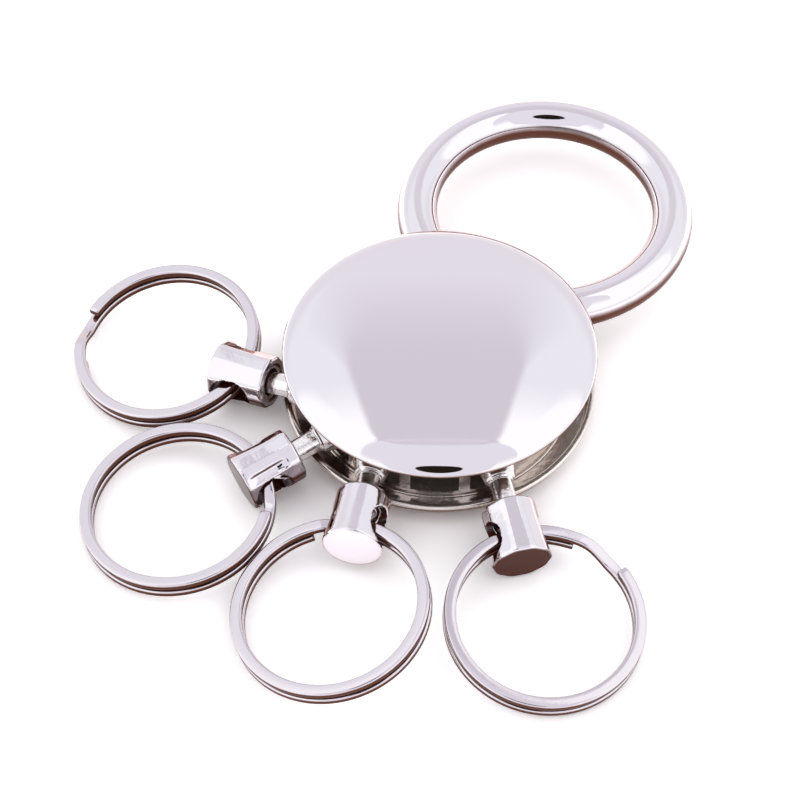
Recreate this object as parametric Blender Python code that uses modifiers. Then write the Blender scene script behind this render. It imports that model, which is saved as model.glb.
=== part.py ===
"""Pocket key holder: a round dish under a domed cap, a carrying loop, and four studs with split rings."""

import math

import bmesh
import bpy
import numpy

MM = 0.001
FIT = 0.3 * MM
MERGE = 0.01 * MM
FULL_TURN = 360
TURN_STEPS = 54
SMALL_STEPS = 24

# Driving outline sizes, worked out from the photo with the split rings taken as the common 25 mm size.
# The carrying loop is made nearly as wide as the cap.
CAP_RADIUS = 20.0 * MM
RING_OUTER_RADIUS = 12.3 * MM
LOOP_WIRE_RADIUS = 2.65 * MM
LOOP_SETBACK = 0.25 * MM
LOOP_MAJOR_RADIUS = CAP_RADIUS - LOOP_SETBACK - LOOP_WIRE_RADIUS

# Push button's bore and the hub round its flange set how near the carrying loop comes to the middle.
BUTTON_HOLE = 5.0 * MM
BUTTON_RADIUS = BUTTON_HOLE - FIT
FLANGE_LEDGE = 1.8 * MM
FLANGE_RADIUS = BUTTON_RADIUS + FLANGE_LEDGE
FLANGE_ROOM = 0.4 * MM
HUB_WALL = 1.5 * MM
HUB_INNER = FLANGE_RADIUS + FLANGE_ROOM
HUB_OUTER = HUB_INNER + HUB_WALL
LOOP_ROOM = 1.95 * MM
LOOP_CENTRE = HUB_OUTER + LOOP_ROOM + LOOP_WIRE_RADIUS + LOOP_MAJOR_RADIUS

# Base dish across: rolled lip, groove for the studs' heads, drum wall, resting foot.
LIP_STEP = 0.1 * MM
LIP_WIDTH = 0.8 * MM
LIP_EDGE = 0.15 * MM
LIP_DRAFT = 0.2 * MM
GROOVE_FILLET = 0.6 * MM
GROOVE_WIDTH = 2.1 * MM
WALL_THICKNESS = 1.0 * MM
WALL_EDGE = 0.12 * MM
FOOT_INSET = 4.9 * MM
SIDE_SWELL = 1.9 * MM
SIDE_STEPS = 5
LIP_RADIUS = CAP_RADIUS + LIP_STEP
LIP_INNER = LIP_RADIUS - LIP_WIDTH
GROOVE_RADIUS = LIP_INNER - GROOVE_FILLET
WALL_OUTER = GROOVE_RADIUS - GROOVE_WIDTH
WALL_INNER = WALL_OUTER - WALL_THICKNESS
FOOT_RADIUS = LIP_RADIUS - FOOT_INSET

# Base dish upwards: floor, lip, seat of the loop, and the stack of cap and drum wall over it.
FLOOR_TOP = 1.2 * MM
FLOOR_FILLET = 0.3 * MM
LIP_TOP = 3.65 * MM
LIP_DEPTH = 0.45 * MM
SIDE_LIFT = 0.6 * MM
LOOP_LIFT = 2.8 * MM
PLATE_STEP_HEIGHT = 0.6 * MM
BACKING_THICKNESS = 1.1 * MM
HUB_DROP = 1.6 * MM
LOOP_HEIGHT = FLOOR_TOP + LOOP_LIFT + LOOP_WIRE_RADIUS
LOOP_SEAT_FLOOR = LOOP_HEIGHT - LOOP_WIRE_RADIUS - FIT
SKIRT_BOTTOM = LOOP_HEIGHT + LOOP_WIRE_RADIUS + FIT
PLATE_STEP = SKIRT_BOTTOM + PLATE_STEP_HEIGHT
BACKING_TOP = PLATE_STEP - FIT
BACKING_BOTTOM = BACKING_TOP - BACKING_THICKNESS
WALL_TOP = BACKING_BOTTOM - FIT
HUB_TOP = WALL_TOP - HUB_DROP

# Domed cap: its crown clears the backing plate, its rim is rolled in. The rim's points are shares
# of the roll's width inwards and of the rim's height above the skirt's foot.
CAP_SHEET = 0.9 * MM
DOME_RISE = 2.0 * MM
DOME_STEPS = 7
RIM_ROLL = 0.6 * MM
RIM_SHARES = ((0.25, 0.89), (0, 0.65), (0.12, 0.35), (0.67, 0.08), (1.17, 0))
SKIRT_WIDTH = 1.25 * MM
PLATE_LEDGE = 1.15 * MM
PLATE_ROOM = 0.15 * MM
DOME_EDGE = CAP_RADIUS - RIM_ROLL
DOME_CURVE = (DOME_EDGE**2 + DOME_RISE**2) / (2 * DOME_RISE)
SKIRT_INNER = CAP_RADIUS - SKIRT_WIDTH
PLATE_STEP_RADIUS = SKIRT_INNER - PLATE_LEDGE
PLATE_DROP = DOME_RISE * (PLATE_STEP_RADIUS / DOME_EDGE) ** 2
CROWN_HEIGHT = PLATE_STEP + PLATE_ROOM + CAP_SHEET + PLATE_DROP
RIM_DEPTH = CROWN_HEIGHT - DOME_RISE - SKIRT_BOTTOM
BACKING_RADIUS = SKIRT_INNER - FIT

# Push button, its screw and the centre post that carries the cap.
BUTTON_BOTTOM = 0.3 * MM
BUTTON_EDGE = 0.2 * MM
FLANGE_THICKNESS = 1.0 * MM
SINK_WEB = 0.8 * MM
SINK_RADIUS = 2.5 * MM
SCREW_SETBACK = 0.2 * MM
SCREW_SLOT_WIDTH = 0.6 * MM
SCREW_SLOT_DEPTH = 0.45 * MM
THREAD_RADIUS = 1.0 * MM
THREAD_LENGTH = 4.2 * MM
BORE_RUNOUT = 0.6 * MM
POST_WALL = 0.7 * MM
POST_LEDGE = 1.4 * MM
POST_HEAD_HEIGHT = 0.7 * MM
POST_HEAD_EDGE = 0.2 * MM
FLANGE_BOTTOM = FLOOR_TOP + FIT
FLANGE_TOP = FLANGE_BOTTOM + FLANGE_THICKNESS
SINK_TOP = FLANGE_TOP - SINK_WEB
SCREW_HEAD_RADIUS = SINK_RADIUS - FIT
SCREW_HEAD_TOP = SINK_TOP - FIT
SCREW_HEAD_BOTTOM = BUTTON_BOTTOM + SCREW_SETBACK
THREAD_HOLE = THREAD_RADIUS + FIT
THREAD_END = SCREW_HEAD_TOP + THREAD_LENGTH
POST_RADIUS = THREAD_HOLE + POST_WALL
POST_HOLE = POST_RADIUS + FIT
POST_BOTTOM = FLANGE_TOP + FIT
POST_BORE_TOP = THREAD_END + BORE_RUNOUT
POST_HEAD_RADIUS = POST_RADIUS + POST_LEDGE
POST_HEAD_BOTTOM = BACKING_TOP + FIT
POST_HEAD_TOP = POST_HEAD_BOTTOM + POST_HEAD_HEIGHT

# Retaining plate on the hub and the spring under it.
RETAINER_THICKNESS = 0.8 * MM
RETAINER_BOTTOM = HUB_TOP + FIT
RETAINER_TOP = RETAINER_BOTTOM + RETAINER_THICKNESS
SPRING_ROOM = 1.9 * MM
SPRING_RADIUS = HUB_INNER - SPRING_ROOM
SPRING_WIRE = 0.225 * MM
SPRING_TURNS = 3
SPRING_POINTS = 10

# Split rings: two stacked turns of flat wire, one unbroken length.
RING_WIRE_WIDTH = 1.6 * MM
RING_WIRE_HEIGHT = 1.04 * MM
RING_WIRE_EDGE = 0.24 * MM
RING_TURN_GAP = 0.43 * MM
RING_MEAN_RADIUS = RING_OUTER_RADIUS - RING_WIRE_WIDTH / 2
RING_STACK = 2 * RING_WIRE_HEIGHT + RING_TURN_GAP
RING_RISE = 22
RING_OVERLAP = 6
RING_END_GAP = 7
RING_STEP = 11.5
RISE_SHARES = (0.25, 0.5, 0.75)

# Studs: the head sits between drum wall and lip, the stem crosses the lip and ends in the barrel.
# The head's points are shares of its length behind the pivot and of its widest radius, and the
# bead's and collar's places are shares of the way from the pivot to the lip.
PIVOT_INSET = 1.0 * MM
PIVOT_RADIUS = LIP_INNER - PIVOT_INSET
LIP_REACH = LIP_RADIUS - PIVOT_RADIUS
STEM_RADIUS = 1.45 * MM
STEM_HEIGHT = LIP_TOP + STEM_RADIUS + FIT
COLLAR_LEDGE = 0.5 * MM
BEAD_SHARE = 0.75
COLLAR_SHARE = 0.45
HEAD_RADIUS = 2.6 * MM
HEAD_OVERHANG = 0.58 * MM
HEAD_LENGTH = PIVOT_RADIUS - WALL_INNER + HEAD_OVERHANG
HEAD_SHARES = ((0.275, 0.885), (0.535, 1), (0.7, 0.885), (0.87, 0.615), (0.975, 0.27), (1, 0))

# Swivel barrels: tapered body, flat outer end, wide cross hole for the split ring.
BARREL_LENGTH = 7.7 * MM
BARREL_INNER_RADIUS = 3.42 * MM
BARREL_FLARE = 0.36 * MM
BARREL_OUTER_RADIUS = BARREL_INNER_RADIUS + BARREL_FLARE
BARREL_SHOULDER = 0.5 * MM
BARREL_END_EDGE = 0.3 * MM
BARREL_END_WALL = 0.3 * MM
HOLE_PLAY = 1.045 * MM
CROSS_HOLE_RADIUS = RING_STACK / 2 + HOLE_PLAY
CROSS_HOLE_STRETCH = 0.4 * MM
CROSS_HOLE_PLACE = BARREL_LENGTH - BARREL_END_WALL - CROSS_HOLE_STRETCH - CROSS_HOLE_RADIUS
STEM_HOLE = STEM_RADIUS + FIT
SOCKET_LEDGE = 0.65 * MM
SOCKET_RADIUS = STEM_HOLE + SOCKET_LEDGE
SOCKET_DEPTH = 0.25 * MM
RIVET_LEDGE = 0.55 * MM
RIVET_RADIUS = STEM_RADIUS + RIVET_LEDGE
RIVET_HOLE = RIVET_RADIUS + FIT
RIVET_FLOOR = 0.75 * MM
RIVET_HEIGHT = 0.45 * MM
RIVET_EDGE = 0.15 * MM
BARREL_GAP = 1.8 * MM
BARREL_PLAY = 1.0 * MM
RIVET_START = LIP_REACH + BARREL_GAP + BARREL_PLAY + RIVET_FLOOR

# Seats of the studs' heads in the drum wall, five of them, the fourth one empty.
SEAT_PLAY = 0.45 * MM
SEAT_DROP = 0.6 * MM
SEAT_REACH = 0.7 * MM
SEAT_WIDTH = 2 * (HEAD_RADIUS + SEAT_PLAY)
SEAT_FLOOR = STEM_HEIGHT - HEAD_RADIUS - SEAT_DROP

# The fan opens with the split rings: its pitch is the angle that one ring takes seen from the middle
# of the dish. Seats, studs and rings are turned by shares of that pitch from the front.
FRONT = 270
RING_DISTANCE = PIVOT_RADIUS + LIP_REACH + BARREL_GAP + CROSS_HOLE_PLACE + RING_MEAN_RADIUS
FAN_PITCH = 2 * math.degrees(math.asin(RING_OUTER_RADIUS / RING_DISTANCE))
SEAT_FAN_SHARES = (-1.38, -0.69, 0, 0.69, 1.38)

# One value per stud: seat, turn, droop, place of the barrel in its play along the stem, swivel.
STUD_SEATS = (0, 1, 2, 4)
STUD_FAN_SHARES = (-2.283, -0.823, 0.4645, 1.0885)
STUD_DROOPS = (9, 8.6, 1, 7.5)
STUD_SLIDE_SHARES = (0, 0.4, 0, 0.8)
STUD_SWIVELS = (-9, -9, 16.5, -9)

# One value per split ring: turn, place of its wire in the hole's play, tilt as a share of the one
# that would lay its far side on the table, roll, azimuth of the wire's ends.
RING_FAN_SHARES = (-2.4344, -0.987, 0.353, 1.197)
RING_PLAY_SHARES = (-0.067, -0.087, 0.033, -0.387)
RING_TILT_SHARES = (0.675, 0.903, 0.556, 0.887)
RING_ROLLS = (-7, 1.5, 9.5, -2)
RING_ENDS = (186, 25, 103, 70)


def clear_scene():
    for old in list(bpy.data.objects):
        bpy.data.objects.remove(old)


def new_group(name):
    group = bpy.data.collections.new(name)
    bpy.context.scene.collection.children.link(group)
    return group


def metal(name, colour, roughness):
    surface = bpy.data.materials.new(name)
    surface.use_nodes = True
    shader = surface.node_tree.nodes["Principled BSDF"]
    shader.inputs["Base Color"].default_value = (*colour, 1)
    shader.inputs["Metallic"].default_value = 1
    shader.inputs["Roughness"].default_value = roughness
    return surface


def place(name, data, group, parent=None, location=(0, 0, 0), rotation=(0, 0, 0)):
    """Add an object with its rotation given in degrees."""
    piece = bpy.data.objects.new(name, data)
    group.objects.link(piece)
    piece.parent = parent
    piece.location = location
    piece.rotation_euler = [math.radians(angle) for angle in rotation]
    return piece


def axis_empty(name, group, parent=None, location=(0, 0, 0), rotation=(0, 0, 0)):
    empty = place(name, None, group, parent, location, rotation)
    empty.empty_display_size = RING_OUTER_RADIUS
    return empty


def profile_mesh(name, profile, surface, closed):
    """A line of (radius, height) points to be turned about Z, top to bottom on its outer side."""
    mesh = bpy.data.meshes.new(name)
    edges = [(i, i + 1) for i in range(len(profile) - 1)]
    if closed:
        edges.append((len(profile) - 1, 0))
    mesh.from_pydata([(radius, 0, height) for radius, height in profile], edges, [])
    mesh.materials.append(surface)
    return mesh


def turn(piece, steps):
    screw = piece.modifiers.new("turned", "SCREW")
    screw.axis = "Z"
    screw.angle = 2 * math.pi
    screw.screw_offset = 0
    screw.steps = steps
    screw.render_steps = steps
    screw.use_merge_vertices = True
    screw.merge_threshold = MERGE
    screw.use_smooth_shade = True
    return piece


def bend(start, pull, end, count):
    """Points of a curve from start to end, without the start."""
    points = []
    for i in range(1, count + 1):
        share = i / count
        weights = ((1 - share) ** 2, 2 * share * (1 - share), share**2)
        points.append(tuple(sum(w * p[k] for w, p in zip(weights, (start, pull, end))) for k in (0, 1)))
    return points


def cutter(name, shape, parent=None, location=(0, 0, 0), rotation=(0, 0, 0)):
    mesh = bpy.data.meshes.new(name)
    shape.to_mesh(mesh)
    shape.free()
    tool = place(name, mesh, cutters, parent, location, rotation)
    tool.hide_render = True
    tool.display_type = "WIRE"
    return tool


def round_cutter(name, radius, depth, steps, parent=None, location=(0, 0, 0), rotation=(0, 0, 0)):
    shape = bmesh.new()
    bmesh.ops.create_cone(shape, cap_ends=True, segments=steps, radius1=radius, radius2=radius, depth=depth)
    return cutter(name, shape, parent, location, rotation)


def box_cutter(name, size, parent=None, location=(0, 0, 0), rotation=(0, 0, 0)):
    shape = bmesh.new()
    bmesh.ops.create_cube(shape, size=1)
    bmesh.ops.scale(shape, vec=size, verts=shape.verts)
    return cutter(name, shape, parent, location, rotation)


def cut(piece, tool):
    trim = piece.modifiers.new(tool.name, "BOOLEAN")
    trim.operation = "DIFFERENCE"
    trim.solver = "EXACT"
    trim.object = tool


def dome_height(radius):
    return CROWN_HEIGHT - DOME_CURVE + math.sqrt(DOME_CURVE**2 - radius**2)


def dome_points(edge, drop):
    """Points down the dome from its crown to the given radius."""
    radii = [edge * i / DOME_STEPS for i in range(DOME_STEPS + 1)]
    return [(radius, dome_height(radius) - drop) for radius in radii]


def fan_azimuth(share):
    return FRONT + share * FAN_PITCH


def make_base_dish():
    pull = (LIP_RADIUS - SIDE_SWELL, SIDE_LIFT)
    side = bend((FOOT_RADIUS, 0), pull, (LIP_RADIUS, LIP_TOP - LIP_DEPTH), SIDE_STEPS)
    profile = [
        (BUTTON_HOLE, 0),
        (BUTTON_HOLE, FLOOR_TOP),
        (HUB_INNER, FLOOR_TOP),
        (HUB_INNER, HUB_TOP - WALL_EDGE),
        (HUB_INNER + WALL_EDGE, HUB_TOP),
        (HUB_OUTER - WALL_EDGE, HUB_TOP),
        (HUB_OUTER, HUB_TOP - WALL_EDGE),
        (HUB_OUTER, FLOOR_TOP + FLOOR_FILLET),
        (HUB_OUTER + FLOOR_FILLET, FLOOR_TOP),
        (WALL_INNER - FLOOR_FILLET, FLOOR_TOP),
        (WALL_INNER, FLOOR_TOP + FLOOR_FILLET),
        (WALL_INNER, WALL_TOP - WALL_EDGE),
        (WALL_INNER + WALL_EDGE, WALL_TOP),
        (WALL_OUTER - WALL_EDGE, WALL_TOP),
        (WALL_OUTER, WALL_TOP - WALL_EDGE),
        (WALL_OUTER, FLOOR_TOP + FLOOR_FILLET),
        (WALL_OUTER + FLOOR_FILLET, FLOOR_TOP),
        (GROOVE_RADIUS, FLOOR_TOP),
        (LIP_INNER - LIP_DRAFT, FLOOR_TOP + FLOOR_FILLET),
        (LIP_INNER, LIP_TOP - 2 * LIP_EDGE),
        (LIP_INNER + LIP_EDGE, LIP_TOP - LIP_EDGE / 2),
        (LIP_RADIUS - LIP_WIDTH / 2, LIP_TOP),
        (LIP_RADIUS - LIP_EDGE, LIP_TOP - LIP_EDGE / 2),
        (LIP_RADIUS, LIP_TOP - 2 * LIP_EDGE),
    ]
    profile += reversed(side)
    profile.append((FOOT_RADIUS, 0))
    dish_mesh = profile_mesh("base_dish", profile, dish_metal, True)
    dish = turn(place("base_dish", dish_mesh, holder), TURN_STEPS)
    seat_depth = WALL_OUTER - WALL_INNER + 2 * SEAT_REACH
    seat_height = WALL_TOP - SEAT_FLOOR + SEAT_REACH
    middle = (WALL_OUTER + WALL_INNER) / 2
    for i, share in enumerate(SEAT_FAN_SHARES):
        azimuth = fan_azimuth(share)
        angle = math.radians(azimuth)
        spot = (middle * math.cos(angle), middle * math.sin(angle), SEAT_FLOOR + seat_height / 2)
        size = (seat_depth, SEAT_WIDTH, seat_height)
        cut(dish, box_cutter(f"seat_cut_{i + 1}", size, None, spot, (0, 0, azimuth)))
    cut(dish, loop_cutter("loop_seat_cut", LOOP_SEAT_FLOOR, WALL_TOP + SEAT_REACH))
    return dish


def loop_cutter(name, bottom, top):
    """Room for the carrying loop, cut round its centre."""
    radius = LOOP_MAJOR_RADIUS + LOOP_WIRE_RADIUS + FIT
    spot = (0, LOOP_CENTRE, (bottom + top) / 2)
    return round_cutter(name, radius, top - bottom, TURN_STEPS, None, spot)


def make_loop():
    sides = SMALL_STEPS // 2
    angles = [-2 * math.pi * i / sides for i in range(sides)]
    profile = [
        (LOOP_MAJOR_RADIUS + LOOP_WIRE_RADIUS * math.cos(angle), LOOP_WIRE_RADIUS * math.sin(angle))
        for angle in angles
    ]
    mesh = profile_mesh("big_ring", profile, loop_metal, True)
    return turn(place("big_ring", mesh, holder, None, (0, LOOP_CENTRE, LOOP_HEIGHT)), TURN_STEPS)


def make_retainer():
    profile = [
        (POST_HOLE, RETAINER_TOP),
        (HUB_OUTER - WALL_EDGE, RETAINER_TOP),
        (HUB_OUTER, RETAINER_TOP - WALL_EDGE),
        (HUB_OUTER, RETAINER_BOTTOM),
        (POST_HOLE, RETAINER_BOTTOM),
    ]
    mesh = profile_mesh("retaining_plate", profile, inner_metal, True)
    return turn(place("retaining_plate", mesh, holder), 2 * SMALL_STEPS)


def make_spring():
    low = FLANGE_TOP + FIT + SPRING_WIRE
    high = RETAINER_BOTTOM - FIT - SPRING_WIRE
    count = SPRING_TURNS * SPRING_POINTS
    points = []
    for i in range(count + 1):
        angle = 2 * math.pi * i / SPRING_POINTS
        height = low + (high - low) * i / count
        points.append((SPRING_RADIUS * math.cos(angle), SPRING_RADIUS * math.sin(angle), height))
    curve = bpy.data.curves.new("return_spring", "CURVE")
    curve.dimensions = "3D"
    curve.bevel_depth = SPRING_WIRE
    curve.bevel_resolution = 1
    curve.use_fill_caps = True
    line = curve.splines.new("POLY")
    line.points.add(len(points) - 1)
    for point, spot in zip(line.points, points):
        point.co = (*spot, 1)
    line.use_smooth = True
    curve.materials.append(spring_metal)
    report_gap("return_spring", points, SPRING_POINTS // 2, SPRING_WIRE, SPRING_WIRE)
    return place("return_spring", curve, holder)


def report_gap(name, points, apart, half_width, half_height):
    """Print the least gap between turns of a wire, measured between points of its centre line."""
    line = numpy.array(points)
    least = None
    for i in range(len(line) - apart):
        away = line[i + apart :] - line[i]
        across = numpy.maximum(numpy.hypot(away[:, 0], away[:, 1]) - 2 * half_width, 0)
        along = numpy.maximum(numpy.abs(away[:, 2]) - 2 * half_height, 0)
        gap = numpy.hypot(across, along).min()
        least = gap if least is None else min(least, gap)
    print(f"{name}: least gap between turns {least / MM:.3f} mm")


def make_dome_cap():
    outer = dome_points(DOME_EDGE, 0)
    inner = dome_points(PLATE_STEP_RADIUS, CAP_SHEET)
    rim = [(CAP_RADIUS - inwards * RIM_ROLL, SKIRT_BOTTOM + up * RIM_DEPTH) for inwards, up in RIM_SHARES]
    profile = outer + rim
    profile += [
        (SKIRT_INNER, SKIRT_BOTTOM),
        (SKIRT_INNER, PLATE_STEP),
        (PLATE_STEP_RADIUS, PLATE_STEP),
    ]
    profile += reversed(inner)
    mesh = profile_mesh("dome_cap", profile, cap_metal, False)
    return turn(place("dome_cap", mesh, holder, cap_axis), TURN_STEPS)


def make_backing_plate():
    profile = [
        (POST_HOLE, BACKING_TOP),
        (BACKING_RADIUS, BACKING_TOP),
        (BACKING_RADIUS, BACKING_BOTTOM + WALL_EDGE),
        (BACKING_RADIUS - WALL_EDGE, BACKING_BOTTOM),
        (POST_HOLE, BACKING_BOTTOM),
    ]
    mesh = profile_mesh("cap_backing_plate", profile, inner_metal, True)
    plate = turn(place("cap_backing_plate", mesh, holder, cap_axis), TURN_STEPS)
    cut(plate, loop_cutter("backing_cut", BACKING_BOTTOM - SEAT_REACH, BACKING_TOP + SEAT_REACH))
    return plate


def make_post():
    profile = [
        (0, POST_HEAD_TOP),
        (POST_HEAD_RADIUS - POST_HEAD_EDGE, POST_HEAD_TOP),
        (POST_HEAD_RADIUS, POST_HEAD_TOP - POST_HEAD_EDGE),
        (POST_HEAD_RADIUS, POST_HEAD_BOTTOM),
        (POST_RADIUS, POST_HEAD_BOTTOM),
        (POST_RADIUS, POST_BOTTOM),
        (THREAD_HOLE, POST_BOTTOM),
        (THREAD_HOLE, POST_BORE_TOP),
        (0, POST_BORE_TOP),
    ]
    mesh = profile_mesh("centre_post", profile, inner_metal, False)
    return turn(place("centre_post", mesh, holder, cap_axis), SMALL_STEPS)


def make_button():
    profile = [
        (THREAD_HOLE, FLANGE_TOP),
        (FLANGE_RADIUS - BUTTON_EDGE, FLANGE_TOP),
        (FLANGE_RADIUS, FLANGE_TOP - BUTTON_EDGE),
        (FLANGE_RADIUS, FLANGE_BOTTOM),
        (BUTTON_RADIUS, FLANGE_BOTTOM),
        (BUTTON_RADIUS, BUTTON_BOTTOM + BUTTON_EDGE),
        (BUTTON_RADIUS - BUTTON_EDGE, BUTTON_BOTTOM),
        (SINK_RADIUS, BUTTON_BOTTOM),
        (SINK_RADIUS, SINK_TOP),
        (THREAD_HOLE, SINK_TOP),
    ]
    mesh = profile_mesh("push_button", profile, button_metal, True)
    return turn(place("push_button", mesh, holder, cap_axis), 2 * SMALL_STEPS)


def make_button_screw():
    profile = [
        (0, THREAD_END),
        (THREAD_RADIUS, THREAD_END),
        (THREAD_RADIUS, SCREW_HEAD_TOP),
        (SCREW_HEAD_RADIUS, SCREW_HEAD_TOP),
        (SCREW_HEAD_RADIUS, SCREW_HEAD_BOTTOM + BUTTON_EDGE),
        (SCREW_HEAD_RADIUS - BUTTON_EDGE, SCREW_HEAD_BOTTOM),
        (0, SCREW_HEAD_BOTTOM),
    ]
    mesh = profile_mesh("button_screw", profile, screw_metal, False)
    screw = turn(place("button_screw", mesh, holder, cap_axis), SMALL_STEPS)
    slot = (3 * SCREW_HEAD_RADIUS, SCREW_SLOT_WIDTH, 2 * SCREW_SLOT_DEPTH)
    cut(screw, box_cutter("slot_cut", slot, cap_axis, (0, 0, SCREW_HEAD_BOTTOM)))
    return screw


def stud_mesh():
    profile = [
        (0, RIVET_START + RIVET_HEIGHT),
        (RIVET_RADIUS - RIVET_EDGE, RIVET_START + RIVET_HEIGHT),
        (RIVET_RADIUS, RIVET_START + RIVET_HEIGHT - RIVET_EDGE),
        (RIVET_RADIUS, RIVET_START),
        (STEM_RADIUS, RIVET_START),
    ]
    profile.append((STEM_RADIUS, BEAD_SHARE * PIVOT_INSET))
    profile.append((STEM_RADIUS + COLLAR_LEDGE, COLLAR_SHARE * PIVOT_INSET))
    profile += [(across * HEAD_RADIUS, -behind * HEAD_LENGTH) for behind, across in HEAD_SHARES]
    return profile_mesh("stud_pin", profile, stud_metal, False)


def barrel_mesh():
    """The barrel along Z from its inner end at height 0, bored from that end into the cross hole."""
    rim = (BARREL_OUTER_RADIUS, BARREL_LENGTH - BARREL_END_EDGE)
    waist = (BARREL_INNER_RADIUS, BARREL_SHOULDER)
    profile = [(0, BARREL_LENGTH), (BARREL_OUTER_RADIUS - BARREL_END_EDGE, BARREL_LENGTH), rim]
    profile += bend(rim, (BARREL_INNER_RADIUS, BARREL_LENGTH / 3), waist, 3)
    profile += bend(waist, (BARREL_INNER_RADIUS, 0), (BARREL_INNER_RADIUS - BARREL_SHOULDER, 0), 3)
    profile += [
        (SOCKET_RADIUS, 0),
        (SOCKET_RADIUS, SOCKET_DEPTH),
        (STEM_HOLE, SOCKET_DEPTH),
        (STEM_HOLE, RIVET_FLOOR),
        (RIVET_HOLE, RIVET_FLOOR),
        (RIVET_HOLE, CROSS_HOLE_PLACE),
        (0, CROSS_HOLE_PLACE),
    ]
    return profile_mesh("swivel_barrel", profile, barrel_metal, False)


def cross_hole_cutter(name, barrel):
    """A through hole across the barrel, longer along the barrel than round it."""
    shape = bmesh.new()
    length = 4 * BARREL_OUTER_RADIUS
    radius = CROSS_HOLE_RADIUS
    steps = SMALL_STEPS
    bmesh.ops.create_cone(shape, cap_ends=True, segments=steps, radius1=radius, radius2=radius, depth=length)
    for corner in shape.verts:
        corner.co.y += math.copysign(CROSS_HOLE_STRETCH, corner.co.y) if abs(corner.co.y) > MERGE else 0
    return cutter(name, shape, barrel, (0, 0, CROSS_HOLE_PLACE), (90, 0, 0))


def ring_line():
    """(angle in degrees, level) along the wire: lower turn, rise past the broken end, upper turn."""
    low = -(RING_WIRE_HEIGHT + RING_TURN_GAP) / 2
    first = RING_RISE + RING_OVERLAP
    last = 2 * FULL_TURN - RING_END_GAP
    start = FULL_TURN + RING_RISE
    lower_steps = round((FULL_TURN - first) / RING_STEP)
    upper_steps = round((last - start) / RING_STEP)
    line = [(first + (FULL_TURN - first) * i / lower_steps, low) for i in range(lower_steps + 1)]
    for share in RISE_SHARES:
        ease = share * share * (3 - 2 * share)
        line.append((FULL_TURN + RING_RISE * share, low - 2 * low * ease))
    line += [(start + (last - start) * i / upper_steps, -low) for i in range(upper_steps + 1)]
    return line


def split_ring_mesh():
    """The wire as one skin over the sections along its line."""
    side = RING_WIRE_WIDTH / 2
    top = RING_WIRE_HEIGHT / 2
    edge = RING_WIRE_EDGE
    corner = [(side, top - edge), (side - edge, top)]
    section = corner + [(-across, up) for across, up in reversed(corner)]
    section += [(-across, -up) for across, up in section]
    shape = bmesh.new()
    rows = []
    centres = []
    for angle, level in ring_line():
        turn_x = math.cos(math.radians(angle))
        turn_y = math.sin(math.radians(angle))
        radii = [RING_MEAN_RADIUS + across for across, _ in section]
        row = [shape.verts.new((r * turn_x, r * turn_y, level + up)) for r, (_, up) in zip(radii, section)]
        rows.append(row)
        centres.append((RING_MEAN_RADIUS * turn_x, RING_MEAN_RADIUS * turn_y, level))
    for first, second in zip(rows, rows[1:]):
        for i in range(len(section)):
            j = (i + 1) % len(section)
            shape.faces.new((first[i], first[j], second[j], second[i])).smooth = True
    shape.faces.new(rows[0])
    shape.faces.new(rows[-1])
    bmesh.ops.recalc_face_normals(shape, faces=shape.faces)
    mesh = bpy.data.meshes.new("split_ring")
    shape.to_mesh(mesh)
    shape.free()
    mesh.materials.append(ring_metal)
    report_gap("split rings", centres, round(FULL_TURN / RING_STEP / 2), side, top)
    return mesh


def make_studs():
    pin_mesh = stud_mesh()
    sleeve_mesh = barrel_mesh()
    wire_mesh = split_ring_mesh()
    for i, seat in enumerate(STUD_SEATS):
        number = i + 1
        azimuth = fan_azimuth(STUD_FAN_SHARES[i])
        seat_angle = math.radians(fan_azimuth(SEAT_FAN_SHARES[seat]))
        droop = math.radians(STUD_DROOPS[i])
        height = STEM_HEIGHT + (LIP_REACH - LIP_WIDTH / 2) * math.tan(droop)
        pivot = (PIVOT_RADIUS * math.cos(seat_angle), PIVOT_RADIUS * math.sin(seat_angle), height)
        lay = (0, FULL_TURN / 4 + STUD_DROOPS[i], azimuth)
        pin_axis = axis_empty(f"pin_axis_{number}", holder, None, pivot, lay)
        turn(place(f"stud_pin_{number}", pin_mesh, holder, pin_axis), SMALL_STEPS)
        slide = LIP_REACH + BARREL_GAP + STUD_SLIDE_SHARES[i] * BARREL_PLAY
        spin = (0, 0, STUD_SWIVELS[i])
        barrel = place(f"swivel_barrel_{number}", sleeve_mesh, holder, pin_axis, (0, 0, slide), spin)
        turn(barrel, SMALL_STEPS)
        cut(barrel, cross_hole_cutter(f"cross_hole_{number}", barrel))

        out = slide + CROSS_HOLE_PLACE
        level = out * math.cos(droop)
        angle = math.radians(azimuth)
        hole_height = height - out * math.sin(droop)
        hole = (pivot[0] + level * math.cos(angle), pivot[1] + level * math.sin(angle), hole_height)
        reach = RING_MEAN_RADIUS + RING_PLAY_SHARES[i] * (CROSS_HOLE_RADIUS - RING_WIRE_WIDTH / 2)
        resting = math.asin((hole_height - RING_STACK / 2) / (reach + RING_OUTER_RADIUS))
        tilt = RING_TILT_SHARES[i] * math.degrees(resting)
        ring_azimuth = fan_azimuth(RING_FAN_SHARES[i])
        hang = (RING_ROLLS[i], tilt, ring_azimuth)
        ring_axis = axis_empty(f"ring_axis_{number}", holder, None, hole, hang)
        turned_by = (0, 0, RING_ENDS[i] - ring_azimuth)
        place(f"split_ring_{number}", wire_mesh, holder, ring_axis, (reach, 0, 0), turned_by)


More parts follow.
